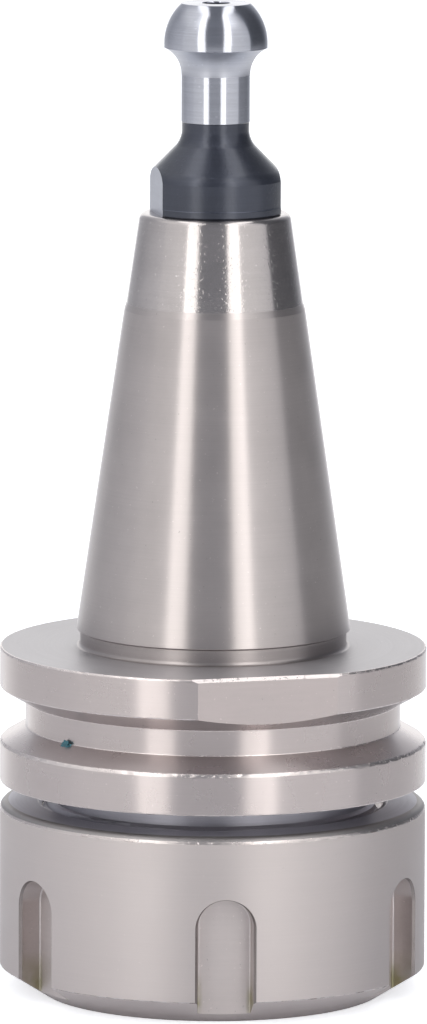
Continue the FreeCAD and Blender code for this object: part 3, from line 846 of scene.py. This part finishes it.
def add_slot_cutter(made, s, turn):
    """Adds the cut for one spanner slot, flared where it leaves the nut, to break its edge."""
    radius = NUT_HIGH.x
    floor_half = s.slot_width / 2
    mouth_half = floor_half + (radius - s.slot_distance) * math.tan(s.slot_slope)
    centre_z = s.slot_end_z - mouth_half
    flare = 2 * s.slot_break * s.slot_spread
    fillet_steps, arc_steps = 8, 48
    end_spread = 0.6            # how much less the edge flares at the slot's round end
    # Each level: distance from the axis, half width there, how far it flares, and whether it
    # follows the nut's outside.
    levels = []
    for index in range(fillet_steps + 1):
        bend = math.pi / 2 * index / fillet_steps
        levels.append((s.slot_distance + s.slot_fillet * (1 - math.cos(bend)),
                       floor_half - s.slot_fillet * (1 - math.sin(bend)), 0.0, False))
    levels += [(radius - s.slot_break, mouth_half, 0.0, True),
               (radius + s.slot_break, mouth_half, flare, True),
               (radius + 2 * MM, mouth_half, flare, False)]
    bends = [math.pi * step / arc_steps for step in range(arc_steps + 1)]
    loops = []
    for distance, half, spread, on_cylinder in levels:
        widths = [half + spread * (1 - end_spread * math.sin(bend)) for bend in bends]
        outline = [(-widths[0], -MM)]
        outline += [(-math.cos(bend) * width, centre_z + math.sin(bend) * width)
                    for bend, width in zip(bends, widths)]
        outline += [(widths[0], -MM)]
        verts = []
        for side, z in outline:
            reach = math.sqrt(distance ** 2 - side ** 2) if on_cylinder else distance
            verts.append(made.verts.new((reach, side, z)))
        loops.append(verts)
    for lower, upper in zip(loops, loops[1:]):
        for i in range(len(lower)):
            made.faces.new((lower[i - 1], lower[i], upper[i], upper[i - 1]))
    made.faces.new(loops[0])
    made.faces.new(loops[-1])
    swing(made, sum(loops, []), turn)


class CHUCK_OT_nut(Operator):
    """Build the clamping nut with its six slots"""
    bl_idname = "chuck.nut"
    bl_label = "Clamping nut"

    def execute(self, context):
        s = context.scene.chuck_nut
        piece = new_object("nut", turned(nut_section(s), s.steps))
        turns = [s.slot_turn + math.tau * index / s.slots for index in range(s.slots)]
        cutter = bmesh.new()
        for turn in turns:
            add_slot_cutter(cutter, s, turn)
        cut(piece, cutter)
        nick(piece)
        ways = [heading(turn) for turn in turns]

        def choose(centre, normal, worn):
            radius = math.hypot(centre.x, centre.y)
            depth = NUT_HIGH.x - radius
            nearest = max(ways, key=centre.dot)
            above_floor = centre.dot(nearest) - s.slot_distance
            square = normal.dot(nearest)
            if -SKIN < above_floor < s.slot_fillet and 0.05 < square < ALIGNED and (
                    normal.z > -0.5 and depth > MM):
                return "milled_wall_steel"
            # The slots' broken edges take a darker colour as painted shade.
            if 2 * SKIN < depth < 1.2 * s.slot_break and 0.1 < square < 0.95 and (
                    s.front_chamfer < centre.z < s.slot_end_z + MM):
                return "shaded_slot_edge_steel"
            if worn and radius > s.face_radius - SMALL_ROUND:
                return "burnished_highlit_edge_steel"
            outward = normal.dot(Vector((centre.x, centre.y, 0)).normalized())
            if radius < s.slot_distance - SLACK and outward < 0.5 and centre.z > SLACK:
                return "hardening_scale"
            # The shoulder's upward faces take a darker colour as painted shade.
            if centre.z > NUT_HIGH.z - s.top_fall and radius > s.top_radius:
                return "shaded_shoulder_steel" if normal.z > 0.5 else "burnished_highlit_edge_steel"
            if normal.z > UPWARD:
                return "hardening_scale"
            if square > ALIGNED and abs(above_floor) < SKIN:
                return "milled_slot_steel"
            on_outside = abs(depth) < 2 * SKIN or centre.z < SKIN or abs(normal.z) > 0.2
            return "satin_nut_steel" if on_outside else "milled_wall_steel"

        shade(piece, choose)
        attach(piece, "nut")
        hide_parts("clamping_nut")
        return {"FINISHED"}


class CHUCK_OT_nut_lip(Operator):
    """Build the eccentric lip that pulls the collet out"""
    bl_idname = "chuck.nut_lip"
    bl_label = "Extraction lip"

    def execute(self, context):
        s = context.scene.chuck_nut
        bite, lip_round = 0.3 * MM, 0.15 * MM
        outer = s.mouth_radius + s.cone_top_z * math.tan(s.cone_slope) + bite
        top_z = s.lip_high_z - SLACK
        ring = turned([(s.lip_radius, s.lip_low_z, lip_round), (outer, s.lip_low_z),
                       (outer, top_z), (s.lip_radius, top_z, lip_round)], s.steps)
        inner = (outer + s.lip_radius) / 2
        for vert in ring.verts:
            if math.hypot(vert.co.x, vert.co.y) < inner:
                vert.co.x += s.lip_offset
        piece = new_object("nut_lip", ring)
        shade(piece, lambda *face: "hardening_scale")
        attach(piece, "nut")
        return {"FINISHED"}


class CHUCK_OT_nut_thread(Operator):
    """Build the nut's screw thread"""
    bl_idname = "chuck.nut_thread"
    bl_label = "Nut thread"

    def execute(self, context):
        s = context.scene.chuck_nut
        t = context.scene.chuck_thread
        countersink = 0.5 * MM
        ridge = helix(t, t.female_crest, t.female_flat, s.thread_radius + THREAD_BITE,
                      HOLDER_LOW.z + THREAD_LEAD + t.pitch / 2, NUT_HIGH.z - countersink)
        piece = new_object("nut_thread", ridge)
        shade(piece, lambda *face: "cut_thread_steel")
        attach(piece, "nut")
        return {"FINISHED"}


class CHUCK_OT_collet(Operator):
    """Give the collet its spring steel finish"""
    bl_idname = "chuck.collet"
    bl_label = "Collet"

    def execute(self, context):
        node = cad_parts["collet"]
        for slot in node.material_slots:
            slot.material = finish("spring_steel")
        return {"FINISHED"}


def head_foot(s):
    """Height at which the throat's rounding meets the head of the pull stud."""
    spread = s.neck_radius + s.throat_round - s.head_radius
    return s.neck_top_z + math.sqrt(s.throat_round ** 2 - spread ** 2)


def stud_section(s):
    """Corners of the pull stud's section: shank, pilot, collar, cone, neck and head."""
    low_z = STUD_LOW.z
    top_z = STUD_HIGH.z
    seat_z = HOLDER_HIGH.z
    pilot_z = seat_z - s.pilot_length
    break_edge, collar_break = 0.1 * MM, 0.05 * MM
    shank_chamfer, foot_chamfer, foot_rise = 0.8 * MM, 0.1 * MM, 0.2 * MM
    black_step = 0.08 * MM      # what polishing took off the neck below its bare part
    rim = 0.06 * MM             # how far the rim at the collar's foot stands out
    root_z = s.cone_corner_z + s.collar_radius - s.neck_radius
    head_z = head_foot(s)
    throat = arc((s.neck_radius, s.neck_top_z), (s.head_radius, head_z), s.throat_round, -1)
    # The cone curves into the collar, but stops short of it and leaves a faint corner.
    corner = Vector((s.collar_radius - 0.03 * MM, s.collar_top_z))
    low, high = math.radians(14), math.radians(45)
    centre = corner - s.cone_round * Vector((math.cos(low), math.sin(low)))
    curve_end = centre + s.cone_round * Vector((math.cos(high), math.sin(high)))
    curve = arc(corner, curve_end, s.cone_round, 1)
    shoulder = (s.head_radius, head_z + s.head_land)
    dome = arc(shoulder, (s.crown_radius, top_z), s.dome_round, 1)
    return [
        (s.hole_radius, low_z),
        (s.shank_radius - shank_chamfer, low_z),
        (s.shank_radius, low_z + shank_chamfer),
        (s.shank_radius, pilot_z),
        (s.pilot_radius, pilot_z),
        (s.pilot_radius, seat_z),
        (s.collar_radius - foot_chamfer, seat_z),
        (s.collar_radius + rim, seat_z + foot_rise),
        (s.collar_radius + rim, seat_z + s.foot_height),
        (s.collar_radius, seat_z + s.foot_height + rim, collar_break),
        (s.collar_radius, s.collar_top_z - rim),
        (*curve[0], collar_break),
        *curve[1:],
        (s.neck_radius - black_step, root_z + black_step, s.neck_round),
        (s.neck_radius - black_step, s.black_top_z - black_step),
        (s.neck_radius, s.black_top_z),
        (s.neck_radius, s.neck_top_z),
        *throat,
        shoulder,
        *dome[:-1],
        (*dome[-1], break_edge),
        (s.hole_radius, top_z, break_edge),
    ]


class CHUCK_OT_stud(Operator):
    """Build the pull stud"""
    bl_idname = "chuck.stud"
    bl_label = "Pull stud"

    def execute(self, context):
        s = context.scene.chuck_stud
        piece = new_object("stud", turned(stud_section(s), s.steps))
        seat_z = HOLDER_HIGH.z
        head_z = head_foot(s)
        reach = s.collar_radius * 1.2
        cutter = bmesh.new()
        for half in (0, math.pi):
            add_block(cutter, (s.flats / 2, -reach, seat_z), (reach * 1.5, reach, STUD_HIGH.z),
                      s.flat_turn + half)
        cut(piece, cutter)
        way = heading(s.flat_turn)

        def choose(centre, normal, worn):
            off_flat = abs(centre.dot(way)) - s.flats / 2
            if abs(normal.dot(way)) > ALIGNED and abs(off_flat) < SKIN:
                return "bare_flat_steel"
            if s.neck_top_z < centre.z < head_z:
                return "turned_throat_steel"
            if centre.z > s.black_top_z or centre.z < seat_z:
                return "polished_stud_steel"
            return "black_oxide_steel"

        shade(piece, choose)
        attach(piece, "holder")
        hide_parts("pull_stud")
        return {"FINISHED"}


class CHUCK_OT_fleck(Operator):
    """Build the chip of paint that sticks in the gripper groove"""
    bl_idname = "chuck.fleck"
    bl_label = "Paint chip"

    def execute(self, context):
        s = context.scene.chuck_holder
        turn = math.radians(-140.0)
        chip_size = Vector((1.35, 0.5, 0.95)) * MM
        lift, drop = 0.3 * MM, 0.12 * MM        # from the groove's floor and its lower corner
        lump_scale, lump, crumb = 3.1, 0.9, 0.1
        rng = random.Random(11)
        chip = bmesh.new()
        bmesh.ops.create_icosphere(chip, subdivisions=3, radius=0.5)
        for vert in chip.verts:
            bulge = noise.noise(vert.co * lump_scale + Vector((4.7, 1.3, 2.2)))
            vert.co *= 1 + lump * bulge + rng.uniform(-crumb, crumb)
        bmesh.ops.scale(chip, vec=chip_size, verts=chip.verts[:])
        swing(chip, chip.verts[:], turn + math.pi / 2)
        spot = heading(turn) * (s.groove_radius + lift)
        spot.z = s.groove_z - s.groove_width / 2 - drop
        bmesh.ops.translate(chip, vec=spot, verts=chip.verts[:])
        piece = new_object("paint_chip", chip)
        shade(piece, lambda *face: "enamel_chip")
        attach(piece, "holder")
        return {"FINISHED"}


# --- Studio ----------------------------------------------------------------------------------


WARM_LIGHT = (1.0, 0.985, 0.945)
DIM_TINT = (0.93, 0.98, 1.12)       # what is dim around the studio is also cooler
BACK_TINT = (0.91, 0.937, 1.0)      # the backdrop as reflections see it


def glow_material(name, tint):
    """A card that only gives off light."""
    material = bpy.data.materials.new(name)
    tree = new_tree(material)
    glow = add(tree, "Attribute", attribute_name="glow").outputs["Fac"]
    colour = add(tree, "Mix", {0: glow, 6: (*DIM_TINT, 1.0), 7: (*tint, 1.0)},
                 data_type="RGBA").outputs[2]
    shader = add(tree, "Emission", {"Color": colour, "Strength": glow})
    add(tree, "OutputMaterial", {"Surface": shader})
    return material


# The wall of cards around the object, seen only in reflections. Each stop is an angle from the
# camera towards +X, then the brightness low down, at eye level and high up; white is 1.
WALLS = {
    "left_wall": [(-160, 1.4, 0.6, 0.75), (-150, 1.25, 0.55, 0.75), (-128, 1.0, 0.48, 0.75),
                  (-106, 0.95, 0.63, 1.0), (-86, 0.94, 0.75, 1.1), (-79.5, 0.95, 0.79, 1.1),
                  (-78.5, 0.96, 0.88, 1.15), (-66, 0.98, 0.93, 1.1), (-55, 1.0, 0.99, 1.5),
                  (-41, 1.02, 1.03, 1.9), (-34, 1.02, 1.03, 1.9)],
    "camera_gap": [(-37, 1.12, 0.29, 0.29), (34, 1.12, 0.29, 0.29)],
    "right_wall": [(29, 1.04, 1.08, 1.9), (36.3, 1.04, 1.08, 1.9), (54, 1.08, 1.0, 1.5),
                   (70, 1.15, 0.90, 1.0), (82, 1.18, 0.78, 0.5), (84, 1.18, 0.16, 0.35),
                   (94, 1.16, 0.12, 0.14), (113, 1.1, 0.11, 0.14), (124, 1.05, 0.11, 0.14),
                   (136, 1.03, 0.17, 0.2), (150, 1.03, 0.42, 0.5), (160, 1.05, 0.5, 0.6)],
    "back_wall": [(164, 1.2, 1.25, 1.0), (196, 1.2, 1.25, 1.0)],
}
# The wall's section: distance from the axis, height, and which brightness it takes.
WALL_SECTION = [(1.05, -0.9, 0), (1.05, -0.11, 0), (1.05, -0.005, 1), (1.05, 0.6, 1),
                (1.05, 1.0, 2), (1.05, 1.9, 2)]
STRIPS = [("left_strip", -40.2, -23.3), ("right_strip", 17.3, 34.3)]
STRIP_LOW, STRIP_HIGH = -0.08, 1.9
LEAN_PIVOT = 0.15           # height at which a leaning lamp keeps its place
# What prolongs a strip lamp below the floor's edge, and how bright it is beside the lamp.
STRIP_FOOT = [(1.0, -0.8, 0), (1.0, -0.14, 0), (1.0, STRIP_LOW, 1)]
FOOT_SHARE = 0.68
# The ceiling's brightness along X.
CEILING = [(-2.6, 0.85), (-1.6, 1.0), (-1.05, 1.4), (-0.95, 2.2), (-0.43, 2.2), (-0.42, 0.25),
           (0.42, 0.25), (0.43, 2.2), (1.05, 2.2), (1.15, 1.5), (1.6, 1.3), (1.75, 0.14),
           (2.6, 0.14)]
CEILING_FRONT, CEILING_BACK = -1.05, 1.5
FLOOR_RADIUS = 12.0
FLOOR_DROP = 0.2 * MM       # how far the floor is below the table top
ROOM_LEVEL = 0.85           # brightness of the room for what isn't seen or reflected


def hung(name, made, material):
    """A card made from a bmesh, which only reflections see."""
    panel = new_object(name, made)
    panel.data.materials.append(material)
    panel.visible_camera = False
    panel.visible_diffuse = False
    panel.visible_shadow = False


def ceiling(material):
    """A flat card overhead, whose brightness runs along X."""
    made = bmesh.new()
    glow = made.verts.layers.float.new("glow")
    verts = [made.verts.new((x, CEILING_FRONT, STRIP_HIGH)) for x, _ in CEILING]
    for vert, (_, value) in zip(verts, CEILING):
        vert[glow] = value
    edges = [made.edges.new(pair) for pair in zip(verts, verts[1:])]
    grown = bmesh.ops.extrude_edge_only(made, edges=edges)
    bmesh.ops.translate(made, vec=(0, CEILING_BACK - CEILING_FRONT, 0), verts=points_in(grown))
    hung("ceiling", made, material)


def card(name, stops, section, material):
    """A curved card around the axis, invisible to the camera."""
    made = bmesh.new()
    level = made.verts.layers.float.new("level")
    glow = made.verts.layers.float.new("glow")
    start, end = stops[0][0], stops[-1][0]
    turn = math.radians(start - 90)
    verts = [made.verts.new((math.cos(turn) * r, math.sin(turn) * r, z)) for r, z, _ in section]
    edges = [made.edges.new(pair) for pair in zip(verts, verts[1:])]
    for vert, (_, _, index) in zip(verts, section):
        vert[level] = index
    bmesh.ops.spin(made, geom=verts + edges, cent=(0, 0, 0), axis=(0, 0, 1),
                   steps=max(8, round(end - start)), angle=math.radians(end - start),
                   use_duplicate=False)
    for vert in made.verts:
        at = math.degrees(math.atan2(vert.co.y, vert.co.x)) + 90
        at = at - 360 if at > 180 else at
        at = min(max(at, start), end)
        before, after = next(pair for pair in zip(stops, stops[1:]) if at <= pair[1][0] + 1e-6)
        share = (at - before[0]) / (after[0] - before[0])
        index = 1 + round(vert[level])
        vert[glow] = before[index] + (after[index] - before[index]) * share
    hung(name, made, material)


class CHUCK_OT_studio(Operator):
    """Build the floor, cards, lamps and camera"""
    bl_idname = "chuck.studio"
    bl_label = "Studio"

    def execute(self, context):
        scene = context.scene
        s = scene.chuck_studio
        self.floor(scene, s)
        white = glow_material("card_white", (1.0, 1.0, 1.0))
        warm = glow_material("card_warm", WARM_LIGHT)
        for name, stops in WALLS.items():
            card(name, stops, WALL_SECTION, white)
        levels = (FOOT_SHARE * s.strip_glow, s.strip_glow)
        for name, start, end in STRIPS:
            self.strip(scene, s, name, start, end)
            card(name + "_foot", [(start, *levels), (end, *levels)], STRIP_FOOT, warm)
        ceiling(white)
        self.world(scene)
        self.camera(scene, s)
        scene.view_settings.view_transform = "Standard"
        return {"FINISHED"}

    def floor(self, scene, s):
        """White table top, and a wide floor just below it."""
        material = bpy.data.materials.new("matt_white_floor")
        tree = new_tree(material)
        # The camera sees the lit floor as plain white, and the object's shadow on it.
        camera_ray = add(tree, "LightPath").outputs["Is Camera Ray"]
        lift = add(tree, "Math", {0: camera_ray, 1: s.floor_lift}, operation="MULTIPLY")
        tint = (*scene.chuck_colours.floor, 1.0)
        paint = add(tree, "BsdfDiffuse", {"Color": tint, "Roughness": 0.5})
        glow = add(tree, "Emission", {"Color": (1.0, 1.0, 1.0, 1.0), "Strength": lift})
        add(tree, "OutputMaterial", {"Surface": add(tree, "AddShader", {0: paint, 1: glow})})
        for name, radius, z in (("table", s.table_radius, 0.0),
                                ("floor", FLOOR_RADIUS, -FLOOR_DROP)):
            made = bmesh.new()
            bmesh.ops.create_circle(made, cap_ends=True, segments=96, radius=radius)
            bmesh.ops.translate(made, vec=(0, 0, z), verts=made.verts[:])
            plate = new_object(name, made)
            plate.data.materials.append(material)
            if name == "floor":
                plate.visible_glossy = False
                plate.visible_shadow = False

    def strip(self, scene, s, name, start_deg, end_deg):
        """A tall strip lamp that faces the axis."""
        middle_z = (STRIP_LOW + STRIP_HIGH) / 2
        lean = math.copysign(s.strip_lean, start_deg)
        turn = math.radians((start_deg + end_deg) / 2 - 90)
        turn += math.tan(lean) * (middle_z - LEAN_PIVOT) / s.light_distance
        light = bpy.data.lights.new(name, "AREA")
        light.shape = "RECTANGLE"
        light.size = 2 * s.light_distance * math.tan(math.radians(end_deg - start_deg) / 2)
        light.size_y = STRIP_HIGH - STRIP_LOW
        light.energy = math.pi * s.strip_glow * light.size * light.size_y
        light.color = WARM_LIGHT
        lamp = bpy.data.objects.new(name, light)
        scene.collection.objects.link(lamp)
        lamp.location = (math.cos(turn) * s.light_distance, math.sin(turn) * s.light_distance,
                         middle_z)
        stand = Matrix.Rotation(turn + math.pi / 2, 4, "Z") @ Matrix.Rotation(math.pi / 2, 4, "X")
        lamp.rotation_euler = (stand @ Matrix.Rotation(-lean, 4, "Z")).to_euler()
        lamp.visible_camera = False

    def world(self, scene):
        """White backdrop for the camera and for reflections, and a plain level for the rest."""
        scene.world = bpy.data.worlds.new("studio")
        tree = new_tree(scene.world)
        path = add(tree, "LightPath").outputs
        bounced = add(tree, "Math", {0: path["Is Glossy Ray"], 1: path["Is Transmission Ray"]},
                      operation="MAXIMUM")
        seen = add(tree, "Math", {0: path["Is Camera Ray"], 1: bounced}, operation="MAXIMUM")
        strength = add(tree, "MapRange", {0: seen, **ramp(0.0, 1.0, low=ROOM_LEVEL)})
        tint = add(tree, "Mix", {0: bounced, 6: (1.0, 1.0, 1.0, 1.0), 7: (*BACK_TINT, 1.0)},
                   data_type="RGBA").outputs[2]
        light = add(tree, "Background", {"Color": tint, "Strength": strength})
        add(tree, "OutputWorld", {"Surface": light})

    def camera(self, scene, s):
        """Long lens in front, slightly above."""
        data = bpy.data.cameras.new("camera")
        data.lens = s.lens
        scene.camera = bpy.data.objects.new("camera", data)
        scene.collection.objects.link(scene.camera)
        scene.camera.location = (s.camera_shift, -s.camera_distance, s.camera_height)
        drop = math.atan2(s.camera_height - s.aim_height, s.camera_distance)
        aim = Matrix.Rotation(math.pi / 2 - drop, 4, "X") @ Matrix.Rotation(s.roll, 4, "Z")
        scene.camera.rotation_euler = aim.to_euler()


# --- Add-on ----------------------------------------------------------------------------------

GROUPS = {
    "chuck_holder": HolderSizes,
    "chuck_nut": NutSizes,
    "chuck_stud": StudSizes,
    "chuck_thread": ThreadSizes,
    "chuck_colours": FinishColours,
    "chuck_studio": StudioSettings,
}
OPERATORS = [
    CHUCK_OT_studio,
    CHUCK_OT_holder,
    CHUCK_OT_nose_thread,
    CHUCK_OT_stud,
    CHUCK_OT_nut,
    CHUCK_OT_nut_lip,
    CHUCK_OT_nut_thread,
    CHUCK_OT_collet,
    CHUCK_OT_fleck,
]


class CHUCK_PT_panel(Panel):
    """Sidebar panel that lists the pieces"""
    bl_idname = "CHUCK_PT_panel"
    bl_label = "Collet chuck holder"
    bl_space_type = "VIEW_3D"
    bl_region_type = "UI"
    bl_category = "Chuck"

    def draw(self, context):
        for operator in OPERATORS:
            self.layout.operator(operator.bl_idname)


def register():
    for group in GROUPS.values():
        bpy.utils.register_class(group)
    for name, group in GROUPS.items():
        setattr(bpy.types.Scene, name, PointerProperty(type=group))
    for operator in OPERATORS:
        bpy.utils.register_class(operator)
    bpy.utils.register_class(CHUCK_PT_panel)


def unregister():
    bpy.utils.unregister_class(CHUCK_PT_panel)
    for operator in reversed(OPERATORS):
        bpy.utils.unregister_class(operator)
    for name, group in GROUPS.items():
        delattr(bpy.types.Scene, name)
        bpy.utils.unregister_class(group)


def main():
    """Builds everything."""
    register()
    for operator in OPERATORS:
        group, name = operator.bl_idname.split(".")
        getattr(getattr(bpy.ops, group), name)()


if __name__ == "__main__":
    main()
